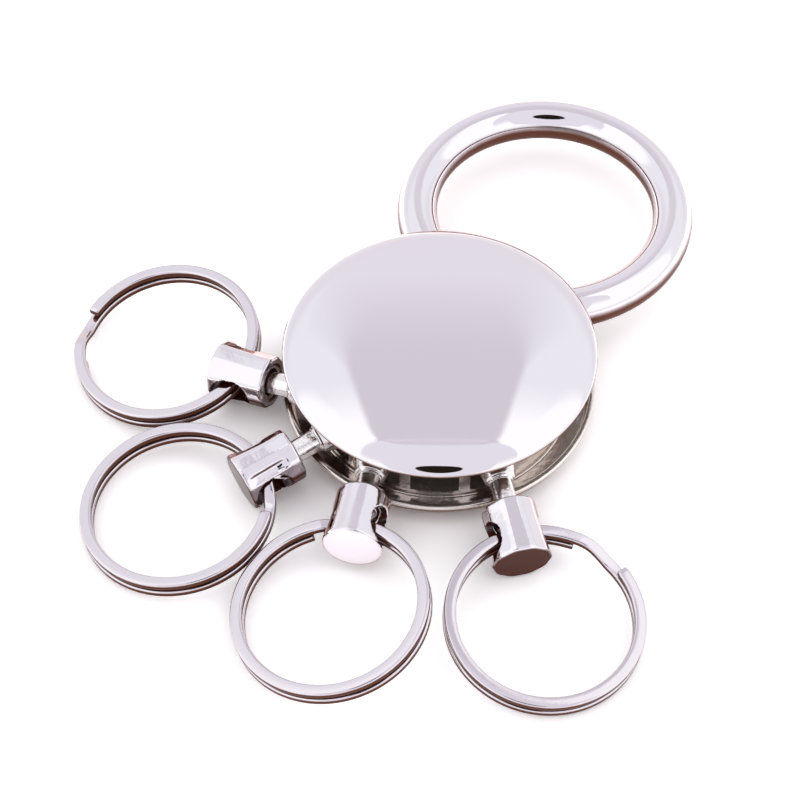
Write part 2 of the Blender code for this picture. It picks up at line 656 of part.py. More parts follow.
clear_scene()
holder = new_group("key_holder")
cutters = new_group("cutters")
cutters.hide_render = True
dish_metal = metal("dish_metal", (0.72, 0.71, 0.72), 0.24)
loop_metal = metal("loop_metal", (0.83, 0.82, 0.82), 0.07)
cap_metal = metal("cap_metal", (0.84, 0.83, 0.84), 0.05)
inner_metal = metal("inner_metal", (0.66, 0.66, 0.67), 0.35)
button_metal = metal("button_metal", (0.78, 0.77, 0.77), 0.2)
screw_metal = metal("screw_metal", (0.6, 0.59, 0.57), 0.3)
spring_metal = metal("spring_metal", (0.55, 0.55, 0.56), 0.3)
stud_metal = metal("stud_metal", (0.74, 0.73, 0.74), 0.3)
barrel_metal = metal("barrel_metal", (0.8, 0.79, 0.79), 0.12)
ring_metal = metal("ring_metal", (0.82, 0.81, 0.8), 0.1)
cap_axis = axis_empty("cap_axis", holder)

make_base_dish()
make_loop()
make_retainer()
make_spring()
make_dome_cap()
make_backing_plate()
make_post()
make_button()
make_button_screw()
make_studs()
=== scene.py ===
"""Looks of a polished metal key holder with a domed cap, a carrying loop and four swivelling rings."""

import math

import bmesh
import bpy
from mathutils import Euler, Matrix, Vector


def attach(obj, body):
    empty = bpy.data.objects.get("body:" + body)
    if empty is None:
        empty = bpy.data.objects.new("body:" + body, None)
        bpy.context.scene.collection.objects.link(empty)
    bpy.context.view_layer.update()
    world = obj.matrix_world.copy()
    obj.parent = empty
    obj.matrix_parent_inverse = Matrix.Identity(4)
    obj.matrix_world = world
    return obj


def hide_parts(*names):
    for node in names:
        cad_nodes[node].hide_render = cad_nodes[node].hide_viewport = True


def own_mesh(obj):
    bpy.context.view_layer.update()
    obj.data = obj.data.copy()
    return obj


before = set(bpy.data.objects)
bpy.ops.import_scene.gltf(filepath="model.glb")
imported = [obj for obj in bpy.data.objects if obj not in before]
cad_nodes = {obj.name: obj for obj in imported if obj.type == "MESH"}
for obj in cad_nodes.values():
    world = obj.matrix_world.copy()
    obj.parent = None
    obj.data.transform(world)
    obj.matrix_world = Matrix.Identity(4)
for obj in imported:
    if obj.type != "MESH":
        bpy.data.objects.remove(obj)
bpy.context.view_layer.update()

# Table, light and camera
# The key holder lies on a pale table under the roof of a white tent. The roof glows white on both
# sides of a grey middle panel, which the domed cap mirrors. A lamp's dark head hangs in front.
MM = 0.001
VIEW_TURN = math.radians(28.55)
VIEW_LIFT = math.radians(52.33)
VIEW_DISTANCE = 311.85 * MM
VIEW_AIM = Vector((-0.36, -9.9, 10.5)) * MM
LENS = 112.8
SENSOR_WIDTH = 36
NEAREST_SEEN = 10 * MM
FARTHEST_SEEN = 20
to_right = Vector((math.cos(VIEW_TURN), math.sin(VIEW_TURN), 0))
to_back = Vector((-math.sin(VIEW_TURN), math.cos(VIEW_TURN), 0))

camera_data = bpy.data.cameras.new("table_camera")
camera_data.lens = LENS
camera_data.sensor_width = SENSOR_WIDTH
camera_data.clip_start = NEAREST_SEEN
camera_data.clip_end = FARTHEST_SEEN
camera = bpy.data.objects.new("table_camera", camera_data)
bpy.context.scene.collection.objects.link(camera)
towards_eye = -to_back * math.cos(VIEW_LIFT) + Vector((0, 0, math.sin(VIEW_LIFT)))
camera.location = VIEW_AIM + towards_eye * VIEW_DISTANCE
camera.rotation_euler = (-towards_eye).to_track_quat("-Z", "Y").to_euler()
bpy.context.scene.camera = camera
bpy.context.scene.view_settings.view_transform = "Standard"


def blank_material(name):
    surface = bpy.data.materials.new(name)
    surface.use_nodes = True
    tree = surface.node_tree
    tree.nodes.clear()
    out = tree.nodes.new("ShaderNodeOutputMaterial")
    return surface, tree, out


def flat_sheet(name, corners, surface):
    mesh = bpy.data.meshes.new(name)
    mesh.from_pydata([tuple(corner) for corner in corners], [], [tuple(range(len(corners)))])
    mesh.materials.append(surface)
    sheet = bpy.data.objects.new(name, mesh)
    bpy.context.scene.collection.objects.link(sheet)
    return sheet


def ranged(tree, value, low, high, out_low, out_high, smooth=True):
    """Map a value from one range to another. Each end is a number or a socket."""
    change = tree.nodes.new("ShaderNodeMapRange")
    change.interpolation_type = "SMOOTHSTEP" if smooth else "LINEAR"
    tree.links.new(value, change.inputs["Value"])
    for label, end in (("From Min", low), ("From Max", high), ("To Min", out_low), ("To Max", out_high)):
        if isinstance(end, (int, float)):
            change.inputs[label].default_value = end
        else:
            tree.links.new(end, change.inputs[label])
    return change.outputs["Result"]


def worked(tree, kind, first, second):
    """The sum, product or other working of two values. Each is a number or a socket."""
    sum_node = tree.nodes.new("ShaderNodeMath")
    sum_node.operation = kind
    for i, value in enumerate((first, second)):
        if isinstance(value, (int, float)):
            sum_node.inputs[i].default_value = value
        else:
            tree.links.new(value, sum_node.inputs[i])
    return sum_node.outputs[0]


def mixed(tree, share, first, second):
    """The first colour at share 0, the second at 1. Each is a colour or a socket."""
    blend = tree.nodes.new("ShaderNodeMix")
    blend.data_type = "RGBA"
    for i, value in ((0, share), (6, first), (7, second)):
        if hasattr(value, "is_output"):
            tree.links.new(value, blend.inputs[i])
        else:
            blend.inputs[i].default_value = value
    return blend.outputs[2]


def seen_directly(tree):
    """1 for a ray from the eye, off metal or through glass, 0 for the light that a surface gathers."""
    path = tree.nodes.new("ShaderNodeLightPath")
    either = worked(tree, "MAXIMUM", path.outputs["Is Camera Ray"], path.outputs["Is Glossy Ray"])
    return worked(tree, "MAXIMUM", either, path.outputs["Is Transmission Ray"])


SQUARE = ((-1, -1), (1, -1), (1, 1), (-1, 1))
TABLE_REACH = 3
TABLE_LEVEL = -0.05 * MM
TABLE_SHADE = (0.9, 0.89, 0.9, 1)
TABLE_AS_SEEN = (1.7, 1.7, 1.7, 1)
table_paint, table_tree, table_out = blank_material("table_paint")
table_shader = table_tree.nodes.new("ShaderNodeBsdfDiffuse")
table_shade = mixed(table_tree, seen_directly(table_tree), TABLE_SHADE, TABLE_AS_SEEN)
table_tree.links.new(table_shade, table_shader.inputs["Color"])
table_tree.links.new(table_shader.outputs[0], table_out.inputs["Surface"])
table_corners = [Vector((x * TABLE_REACH, y * TABLE_REACH, TABLE_LEVEL)) for x, y in SQUARE]
flat_sheet("table_top", table_corners, table_paint)

TENT_SHADE = (0.88, 0.87, 0.92, 1)
WHITE = (1, 1, 1, 1)
tent = bpy.data.worlds.new("white_tent")
tent.use_nodes = True
bpy.context.scene.world = tent
tent_tree = tent.node_tree
tent_shader = tent_tree.nodes["Background"]
tent_shade = mixed(tent_tree, seen_directly(tent_tree), TENT_SHADE, WHITE)
tent_tree.links.new(tent_shade, tent_shader.inputs["Color"])

# The roof's cloth. Places on it are in mm to the right of the object and behind it, as the camera
# looks. A pair of places is where a change of tone starts and ends. The middle panel is narrowest
# at the front of the white boxes and widens away from there, and its edges soften towards the back.
PLAIN_SKY = (0.885, 0.873, 0.927, 1)
NEAR_WHITE = (0.955, 0.97, 1.0, 1)
BOX_WHITE = (1.2, 1.2, 1.2, 1)
PANEL_GREY = (0.734, 0.705, 0.756, 1)
ROOF_HEIGHT = 1000 * MM
ROOF_REACH = 12
BOX_FRONT = 306
PANEL_LEAN = 0.01
PANEL_HALF_WIDTH = 185
WIDENING_RUN = 2000
WIDER_BEHIND = 560
WIDER_IN_FRONT = 800
EDGE_SOFTENS = (620, 1050)
SHARP_EDGE = 14
SOFT_EDGE = 170
PANEL_FADES = (600, 1450)
FAR_SIDE_FADES = (1050, 1900)
BOX_FADES = (340, 600)
FRONT_GLOW = (-250, -1000)
SEAM_BACK = 292
SEAM_WIDTHS = (3, 14)
FRONT_BENDS = (150, 1150)
FRONT_BEND_RUN = 1300
FRONT_EDGE = (300, 312)
FAR_WHITE = (2.4, 8)
tent_cloth, cloth_tree, cloth_out = blank_material("tent_cloth")
cloth_glow = cloth_tree.nodes.new("ShaderNodeEmission")
cloth_place = cloth_tree.nodes.new("ShaderNodeNewGeometry")
cloth_ways = []
for way in (to_right, to_back):
    along = cloth_tree.nodes.new("ShaderNodeVectorMath")
    along.operation = "DOT_PRODUCT"
    along.inputs[1].default_value = way / MM
    cloth_tree.links.new(cloth_place.outputs["Position"], along.inputs[0])
    cloth_ways.append(along.outputs["Value"])
cloth_right, cloth_back = cloth_ways


def risen(value, ends):
    """0 before the first end and 1 past the second."""
    return ranged(cloth_tree, value, *ends, 0, 1)


def apart(first, second):
    return worked(cloth_tree, "ABSOLUTE", worked(cloth_tree, "SUBTRACT", first, second), 0)


side_distance = apart(cloth_right, worked(cloth_tree, "MULTIPLY", cloth_back, PANEL_LEAN))
behind_width = ranged(
    cloth_tree, cloth_back, BOX_FRONT, BOX_FRONT + WIDENING_RUN,
    PANEL_HALF_WIDTH, PANEL_HALF_WIDTH + WIDER_BEHIND, False,
)
front_width = ranged(cloth_tree, cloth_back, BOX_FRONT, BOX_FRONT - WIDENING_RUN, 0, WIDER_IN_FRONT, False)
panel_width = worked(cloth_tree, "ADD", behind_width, front_width)
softness = ranged(cloth_tree, cloth_back, *EDGE_SOFTENS, SHARP_EDGE, SOFT_EDGE)
past_panel = worked(cloth_tree, "SUBTRACT", side_distance, panel_width)
beside_panel = risen(worked(cloth_tree, "DIVIDE", past_panel, softness), (-1, 1))
middle = mixed(cloth_tree, risen(cloth_back, PANEL_FADES), PANEL_GREY, PLAIN_SKY)
far_side = mixed(cloth_tree, risen(cloth_back, FAR_SIDE_FADES), NEAR_WHITE, PLAIN_SKY)
side = mixed(cloth_tree, risen(cloth_back, BOX_FADES), BOX_WHITE, far_side)
behind = mixed(cloth_tree, beside_panel, middle, side)
front_glow = worked(cloth_tree, "MULTIPLY", beside_panel, risen(cloth_back, FRONT_GLOW))
in_front = mixed(cloth_tree, front_glow, PLAIN_SKY, BOX_WHITE)
seam_share = ranged(cloth_tree, apart(cloth_back, SEAM_BACK), *SEAM_WIDTHS, 1, 0)
in_front = mixed(cloth_tree, seam_share, in_front, PANEL_GREY)
front_bend = ranged(cloth_tree, side_distance, *FRONT_BENDS, 0, FRONT_BEND_RUN, False)
past_front = risen(worked(cloth_tree, "ADD", cloth_back, front_bend), FRONT_EDGE)
cloth_colour = mixed(cloth_tree, past_front, in_front, behind)
cloth_distance = cloth_tree.nodes.new("ShaderNodeVectorMath")
cloth_distance.operation = "LENGTH"
cloth_tree.links.new(cloth_place.outputs["Position"], cloth_distance.inputs[0])
cloth_colour = mixed(cloth_tree, risen(cloth_distance.outputs["Value"], FAR_WHITE), cloth_colour, WHITE)
cloth_tree.links.new(cloth_colour, cloth_glow.inputs["Color"])
cloth_tree.links.new(cloth_glow.outputs[0], cloth_out.inputs["Surface"])
roof_corners = [(to_right * x + to_back * y) * ROOF_REACH + Vector((0, 0, ROOF_HEIGHT)) for x, y in SQUARE]
flat_sheet("tent_roof", roof_corners, tent_cloth)

# The lamp's dark head is an oval plate, a little higher than the eye.
LAMP_LIFT = math.radians(61.7)
LAMP_DISTANCE = 900 * MM
LAMP_HALF_WIDTH = 150 * MM
LAMP_HALF_HEIGHT = 225 * MM
LAMP_CORNERS = 48
LAMP_BLACK = (0.02, 0.014, 0.01, 1)
lamp_paint, lamp_tree, lamp_out = blank_material("lamp_paint")
lamp_shader = lamp_tree.nodes.new("ShaderNodeBsdfDiffuse")
lamp_shader.inputs["Color"].default_value = LAMP_BLACK
lamp_tree.links.new(lamp_shader.outputs[0], lamp_out.inputs["Surface"])
lamp_middle = (-to_back * math.cos(LAMP_LIFT) + Vector((0, 0, math.sin(LAMP_LIFT)))) * LAMP_DISTANCE
lamp_up = to_back * math.sin(LAMP_LIFT) + Vector((0, 0, math.cos(LAMP_LIFT)))
lamp_rim = []
for k in range(LAMP_CORNERS):
    angle = 2 * math.pi * k / LAMP_CORNERS
    sideways = to_right * (LAMP_HALF_WIDTH * math.cos(angle))
    lamp_rim.append(lamp_middle + sideways + lamp_up * (LAMP_HALF_HEIGHT * math.sin(angle)))
flat_sheet("lamp_head", lamp_rim, lamp_paint)

# Base dish
# A die-cast dish with a rolled lip, a groove behind it and a drum wall with five seats for the
# studs' heads, bright plated like the rest. The groove's floor keeps the skin of the casting.
TURNED_STEPS = 192
LONGEST_ROUNDING = 0.48
ON_AXIS = 1e-6


def rounded(corners, closed=True, steps=5):
    """A line of (radius, height, rounding) in mm with an arc at each rounded corner."""
    line = []
    count = len(corners)
    for i, (radius, height, rounding) in enumerate(corners):
        here = Vector((radius, height))
        inner = closed or 0 < i < count - 1
        if not rounding or not inner:
            line.append(here)
            continue
        before = Vector(corners[i - 1][:2]) - here
        after = Vector(corners[(i + 1) % count][:2]) - here
        bend = before.angle(after)
        room = LONGEST_ROUNDING * min(before.length, after.length)
        run = min(rounding / math.tan(bend / 2), room)
        start = here + before.normalized() * run
        end = here + after.normalized() * run
        for k in range(steps + 1):
            share = k / steps
            line.append(start * (1 - share) ** 2 + here * 2 * share * (1 - share) + end * share**2)
    return line


def in_scene(name, build):
    """The built mesh as an object of the scene."""
    mesh = bpy.data.meshes.new(name)
    build.to_mesh(mesh)
    build.free()
    piece = bpy.data.objects.new(name, mesh)
    bpy.context.scene.collection.objects.link(piece)
    return piece


def turned(name, line, closed=True, steps=TURNED_STEPS, shape=None):
    """The line of (radius, height) in mm turned about Z, with a smooth skin. shape changes each point."""
    build = bmesh.new()
    rows = []
    for radius, height in line:
        if radius < ON_AXIS:
            rows.append([build.verts.new((0, 0, height * MM))])
            continue
        row = []
        for k in range(steps):
            angle = 2 * math.pi * k / steps
            reach, level = (radius, height) if shape is None else shape(radius, height, angle)
            spot = (reach * math.cos(angle) * MM, reach * math.sin(angle) * MM, level * MM)
            row.append(build.verts.new(spot))
        rows.append(row)
    pairs = list(zip(rows, rows[1:])) + ([(rows[-1], rows[0])] if closed else [])
    for first, second in pairs:
        for k in range(steps):
            n = (k + 1) % steps
            if len(first) == 1:
                build.faces.new((first[0], second[n], second[k]))
            elif len(second) == 1:
                build.faces.new((first[k], first[n], second[0]))
            else:
                build.faces.new((first[k], first[n], second[n], second[k]))
    bmesh.ops.recalc_face_normals(build, faces=build.faces)
    for face in build.faces:
        face.smooth = True
    return in_scene(name, build)


def box_tool(name, centre, size, turn):
    build = bmesh.new()
    place = Matrix.LocRotScale(Vector(centre) * MM, Euler((0, 0, turn)), Vector(size) * MM)
    bmesh.ops.create_cube(build, size=1, matrix=place)
    return in_scene(name, build)


def round_tool(name, place, radius, height, steps):
    """A closed round bar about the Z of its place, sizes in mm."""
    build = bmesh.new()
    bmesh.ops.create_cone(
        build, cap_ends=True, segments=steps, radius1=radius * MM, radius2=radius * MM, depth=height * MM,
        matrix=place,
    )
    return in_scene(name, build)


def settle(piece):
    """Keep the piece's mesh as its modifiers leave it."""
    bpy.context.view_layer.update()
    seen = piece.evaluated_get(bpy.context.evaluated_depsgraph_get())
    mesh = bpy.data.meshes.new_from_object(seen)
    piece.modifiers.clear()
    old = piece.data
    piece.data = mesh
    bpy.data.meshes.remove(old)


def cut_away(piece, tools):
    for tool in tools:
        trim = piece.modifiers.new(tool.name, "BOOLEAN")
        trim.operation = "DIFFERENCE"
        trim.solver = "EXACT"
        trim.object = tool
    settle(piece)
    for tool in tools:
        bpy.data.objects.remove(tool)


def start_group(name, inputs, outputs):
    group = bpy.data.node_groups.new(name, "ShaderNodeTree")
    for label, kind, value in inputs:
        socket = group.interface.new_socket(label, in_out="INPUT", socket_type=kind)
        socket.default_value = value
    for label, kind in outputs:
        group.interface.new_socket(label, in_out="OUTPUT", socket_type=kind)
    return group, group.nodes.new("NodeGroupInput"), group.nodes.new("NodeGroupOutput")


def noise_in(tree, place, scale, detail, roughness=0.5):
    noise = tree.nodes.new("ShaderNodeTexNoise")
    noise.inputs["Detail"].default_value = detail
    noise.inputs["Roughness"].default_value = roughness
    if isinstance(scale, (int, float)):
        noise.inputs["Scale"].default_value = scale
    else:
        tree.links.new(scale, noise.inputs["Scale"])
    tree.links.new(place, noise.inputs["Vector"])
    return noise.outputs[0]


# Painted shade and a painted reflection of a brown table: the sides that look down and sideways
# get a warm dark colour, whose edge wanders a little at random. Low and High are the upward parts
# of the normal where this painted shade is full and where it has gone.
underside_shade, underside_shade_in, underside_shade_out = start_group(
    "painted_underside_shade",
    [
        ("Bright", "NodeSocketColor", (0.85, 0.82, 0.87, 1)),
        ("Painted Shade", "NodeSocketColor", (0.35, 0.2, 0.14, 1)),
        ("Low", "NodeSocketFloat", -0.1),
        ("High", "NodeSocketFloat", 0.4),
        ("Unevenness", "NodeSocketFloat", 0.12),
        ("Patch Scale", "NodeSocketFloat", 300.0),
    ],
    [("Color", "NodeSocketColor"), ("Mask", "NodeSocketFloat")],
)
facing = underside_shade.nodes.new("ShaderNodeNewGeometry")
facing_parts = underside_shade.nodes.new("ShaderNodeSeparateXYZ")
underside_shade.links.new(facing.outputs["Normal"], facing_parts.inputs[0])
patch_place = underside_shade.nodes.new("ShaderNodeTexCoord")
patches = noise_in(underside_shade, patch_place.outputs["Object"], underside_shade_in.outputs["Patch Scale"], 3)
patch_shift = worked(
    underside_shade, "MULTIPLY", worked(underside_shade, "SUBTRACT", patches, 0.5), underside_shade_in.outputs["Unevenness"]
)
facing_up = worked(underside_shade, "ADD", facing_parts.outputs["Z"], patch_shift)
underside_shade_share = ranged(underside_shade, facing_up, underside_shade_in.outputs["Low"], underside_shade_in.outputs["High"], 1.0, 0.0)
underside_shaded = mixed(underside_shade, underside_shade_share, underside_shade_in.outputs["Bright"], underside_shade_in.outputs["Painted Shade"])
underside_shade.links.new(underside_shaded, underside_shade_out.inputs["Color"])
underside_shade.links.new(underside_shade_share, underside_shade_out.inputs["Mask"])

# Handling leaves faint smears and fine scratches that widen the gloss. Scales are per metre.
SMEAR_SCALE = 170
SMEAR_DETAIL = 5
SMEAR_ROUGHNESS = 0.6
SMEAR_ENDS = (0.42, 0.72)
SWAY_SCALE = 60
SCRATCH_TURN = (0.3, 0.2, 0.7)
SCRATCH_SCALE = (2600, 130, 900)
SCRATCH_ENDS = (0.62, 0.7)
SCRATCH_DEPTH = 0.02
handling, handling_in, handling_out = start_group(
    "handling_marks",
    [
        ("Clean", "NodeSocketFloat", 0.06),
        ("Marked", "NodeSocketFloat", 0.16),
        ("Scratch", "NodeSocketFloat", 0.05),
    ],
    [("Roughness", "NodeSocketFloat"), ("Height", "NodeSocketFloat")],
)
mark_place = handling.nodes.new("ShaderNodeTexCoord").outputs["Object"]
smear_noise = noise_in(handling, mark_place, SMEAR_SCALE, SMEAR_DETAIL, SMEAR_ROUGHNESS)
smears = ranged(handling, smear_noise, *SMEAR_ENDS, 0.0, 1.0)
gloss = ranged(
    handling, smears, 0.0, 1.0, handling_in.outputs["Clean"], handling_in.outputs["Marked"], False
)
scratch_turn = handling.nodes.new("ShaderNodeMapping")
scratch_turn.inputs["Rotation"].default_value = SCRATCH_TURN
scratch_turn.inputs["Scale"].default_value = SCRATCH_SCALE
handling.links.new(mark_place, scratch_turn.inputs["Vector"])
scratch_noise = noise_in(handling, scratch_turn.outputs["Vector"], 1, 2)
scratches = ranged(handling, scratch_noise, *SCRATCH_ENDS, 0.0, 1.0)
scratched = worked(handling, "MULTIPLY", scratches, handling_in.outputs["Scratch"])
handling.links.new(worked(handling, "ADD", gloss, scratched), handling_out.inputs["Roughness"])
scratch_cut = worked(handling, "MULTIPLY", scratches, SCRATCH_DEPTH)
wavy = worked(handling, "SUBTRACT", noise_in(handling, mark_place, SWAY_SCALE, 2), scratch_cut)
handling.links.new(wavy, handling_out.inputs["Height"])

# Painted shade, with a little grime, darkens where pieces meet and in narrow gaps, as far as
# ambient occlusion finds other surfaces close.
GAP_ENDS = (0.15, 0.6)
GAP_SAMPLES = 8
gap_shading, gap_shading_in, gap_shading_out = start_group(
    "painted_gap_shade_and_grime",
    [
        ("Color", "NodeSocketColor", (0.8, 0.8, 0.8, 1)),
        ("Gap Shade", "NodeSocketColor", (0.05, 0.035, 0.025, 1)),
        ("Reach", "NodeSocketFloat", 0.0012),
        ("Amount", "NodeSocketFloat", 0.8),
    ],
    [("Color", "NodeSocketColor"), ("Mask", "NodeSocketFloat")],
)
closeness = gap_shading.nodes.new("ShaderNodeAmbientOcclusion")
closeness.samples = GAP_SAMPLES
gap_shading.links.new(gap_shading_in.outputs["Reach"], closeness.inputs["Distance"])
in_gap = ranged(gap_shading, closeness.outputs["AO"], *GAP_ENDS, 1.0, 0.0)
gap_shade_share = worked(gap_shading, "MULTIPLY", in_gap, gap_shading_in.outputs["Amount"])
gap_shaded = mixed(gap_shading, gap_shade_share, gap_shading_in.outputs["Color"], gap_shading_in.outputs["Gap Shade"])
gap_shading.links.new(gap_shaded, gap_shading_out.inputs["Color"])
gap_shading.links.new(gap_shade_share, gap_shading_out.inputs["Mask"])


def placed_group(tree, group, values):
    node = tree.nodes.new("ShaderNodeGroup")
    node.node_tree = group
    for label, value in values.items():
        if hasattr(value, "is_output"):
            tree.links.new(value, node.inputs[label])
        else:
            node.inputs[label].default_value = value
    return node


def bumped(tree, height, depth, over=None):
    """The normal of a skin with bumps of the given depth in mm, over another normal if one is given."""
    bump = tree.nodes.new("ShaderNodeBump")
    bump.inputs["Strength"].default_value = 1
    bump.inputs["Distance"].default_value = depth * MM
    tree.links.new(height, bump.inputs["Height"])
    if over is not None:
        tree.links.new(over, bump.inputs["Normal"])
    return bump.outputs["Normal"]


FAINT_SHEEN = 0.06
GRIME_MATT = 0.25
RIPPLE_DETAIL = 3
RIPPLE_ROUGHNESS = 0.55
PALE_GLEAM = (0.85, 0.7, 0.62, 1)


def plated_metal(
    name, bright, shade_colour, shade_ends, gloss_ends, scratch=0.03, sway=0.02, skin=None, gap_darkening=(0.0012, 0.8),
    gleam=PALE_GLEAM, shade_metal=0.0,
):
    """Bright plating with painted shade where it looks down, which also stands for a brown table's
    reflection there, and painted shade in its gaps.

    The pair after the two colours gives the upward parts of the normal where the painted shade is full
    and where it has gone, gloss_ends the roughness of clean and of smeared plating. sway is the depth
    in mm of its waves, and skin the (size, depth) in mm of the casting's ripple under it. The pair for
    the gaps is the (reach in metres, share) of the painted shade and grime there, and the last
    argument is how metallic the plating stays under its painted shade.
    """
    surface = bpy.data.materials.new(name)
    surface.use_nodes = True
    tree = surface.node_tree
    shader = tree.nodes["Principled BSDF"]
    shader.inputs["Specular IOR Level"].default_value = FAINT_SHEEN
    shader.inputs["Specular Tint"].default_value = gleam
    low, high = shade_ends
    tone = placed_group(tree, underside_shade, {"Bright": bright, "Painted Shade": shade_colour, "Low": low, "High": high})
    gaps = placed_group(tree, gap_shading, {"Color": tone.outputs["Color"], "Reach": gap_darkening[0], "Amount": gap_darkening[1]})
    # under the painted shade the plating turns less metallic
    metal_share = ranged(tree, tone.outputs["Mask"], 0, 1, 1, shade_metal, False)
    tree.links.new(metal_share, shader.inputs["Metallic"])
    clean, marked = gloss_ends
    marks = placed_group(tree, handling, {"Clean": clean, "Marked": marked, "Scratch": scratch})
    tree.links.new(gaps.outputs["Color"], shader.inputs["Base Color"])
    matt = worked(tree, "MULTIPLY", gaps.outputs["Mask"], GRIME_MATT)
    tree.links.new(worked(tree, "ADD", marks.outputs["Roughness"], matt), shader.inputs["Roughness"])
    normal = bumped(tree, marks.outputs["Height"], sway)
    if skin:
        size, depth = skin
        skin_place = tree.nodes.new("ShaderNodeTexCoord")
        scale = 1 / (size * MM)
        ripple = noise_in(tree, skin_place.outputs["Object"], scale, RIPPLE_DETAIL, RIPPLE_ROUGHNESS)
        normal = bumped(tree, ripple, depth, normal)
    tree.links.new(normal, shader.inputs["Normal"])
    return surface


def finish_piece(piece, surface, body, node_name):
    """Give the piece its material and the body that it moves with, and hide the solid that it stands for."""
    piece.data.materials.clear()
    piece.data.materials.append(surface)
    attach(piece, body)
    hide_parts(node_name)


BUTTON_HOLE = 5.0
HUB_INNER = 6.9
HUB_OUTER = 8.4
HUB_TOP = 6.9
DISH_FLOOR = 1.2
WALL_INNER = 15.6
WALL_OUTER = 16.6
WALL_TOP = 8.5
LIP_TOP = 3.65
SEAT_ANGLES = (218, 244, 270, 296, 322)
SEAT_REACH = 16.1
SEAT_LEVEL = 5.9
SEAT_SIZE = (2.6, 6.1, 7.4)
LOOP_REACH = 30.1
LOOP_SEAT_LEVEL = 6.45
LOOP_SEAT_RADIUS = 20.05
LOOP_SEAT_HEIGHT = 5.5
DISH_EDGE = 0.12
DISH_EDGE_ANGLE = math.radians(40)
DISH_EDGE_WEIGHT = 60
# The dish's sides that look down get painted shade, brown and less metallic, which also stands for a brown
# table's reflection.
dish_plating = plated_metal(
    "dish_plating", (0.84, 0.79, 0.76, 1), (0.2, 0.12, 0.085, 1), (-0.45, 0.1), (0.16, 0.28),
    skin=(0.9, 0.05), gap_darkening=(0.0014, 0.5), shade_metal=0.45,
)
dish_line = rounded(
    [
        (BUTTON_HOLE, 0, 0.15), (BUTTON_HOLE, DISH_FLOOR, 0.1), (HUB_INNER, DISH_FLOOR, 0.2),
        (HUB_INNER, HUB_TOP, 0.12), (HUB_OUTER, HUB_TOP, 0.12), (HUB_OUTER, DISH_FLOOR, 0.3),
        (WALL_INNER, DISH_FLOOR, 0.3), (WALL_INNER, WALL_TOP, 0.15), (WALL_OUTER, WALL_TOP, 0.15),
        (WALL_OUTER, DISH_FLOOR, 0.4), (19.1, DISH_FLOOR, 0.5), (19.3, LIP_TOP, 0.25), (20.1, LIP_TOP, 0.3),
        (20.08, 3.1, 0.3), (19.6, 1.95, 1.2), (18.2, 0.75, 2.0), (15.2, 0, 0.8),
    ]
)
dish = turned("dish_casting", dish_line)
seat_tools = []
for i, seat_angle in enumerate(SEAT_ANGLES):
    turn = math.radians(seat_angle)
    middle_of_seat = (SEAT_REACH * math.cos(turn), SEAT_REACH * math.sin(turn), SEAT_LEVEL)
    seat_tools.append(box_tool(f"seat_{i}", middle_of_seat, SEAT_SIZE, turn))
loop_seat = Matrix.Translation(Vector((0, LOOP_REACH, LOOP_SEAT_LEVEL)) * MM)
seat_tools.append(round_tool("loop_seat", loop_seat, LOOP_SEAT_RADIUS, LOOP_SEAT_HEIGHT, TURNED_STEPS))
cut_away(dish, seat_tools)
edge = dish.modifiers.new("soft_edges", "BEVEL")
edge.width = DISH_EDGE * MM
edge.segments = 3
edge.limit_method = "ANGLE"
edge.angle_limit = DISH_EDGE_ANGLE
edge.use_clamp_overlap = True
settle(dish)
for face in dish.data.polygons:
    face.use_smooth = True
shade = dish.modifiers.new("even_shading", "WEIGHTED_NORMAL")
shade.keep_sharp = False
shade.weight = DISH_EDGE_WEIGHT
finish_piece(dish, dish_plating, "base", "base_dish")

# Carrying loop
# A solid round bar bent to a ring and welded, polished to a mirror. It lies in a notch of the drum
# wall and the cap holds it down. Its lower half is painted warm brown: painted shade and a painted
# reflection of a brown table.
BRIGHT = (0.86, 0.82, 0.87, 1)
SHADED_UNDERSIDE = (0.17, 0.058, 0.034, 1)
LOOP_LEVEL = 6.65
LOOP_RADIUS = 17.1
LOOP_BAR = 2.65
BAR_STEPS = 64
FINE_STEPS = 256
loop_plating = plated_metal(
    "loop_plating", BRIGHT, SHADED_UNDERSIDE, (0.08, 0.54), (0.035, 0.075), scratch=0.02, sway=0.03
)
loop_line = []
for k in range(BAR_STEPS):
    angle = 2 * math.pi * k / BAR_STEPS
    loop_line.append(Vector((LOOP_RADIUS + LOOP_BAR * math.cos(angle), LOOP_BAR * math.sin(angle))))
loop = turned("carrying_loop", loop_line, steps=FINE_STEPS)
loop.data.transform(Matrix.Translation(Vector((0, LOOP_REACH, LOOP_LEVEL)) * MM))
finish_piece(loop, loop_plating, "base", "big_ring")

# Hidden works
# Pressed plates, a turned post, a button and its screw, and a spring of three turns of wire sit
# inside the base. The button's flange presses the spring to two fifths when the cap is up.
SPRING_RADIUS = 5.0
SPRING_WIRE = 0.225
SPRING_BOTTOM = 2.8
SPRING_TOP = 6.9
SPRING_TURNS = 3
SPRING_STEPS = 48
SPRING_SIDES = 10
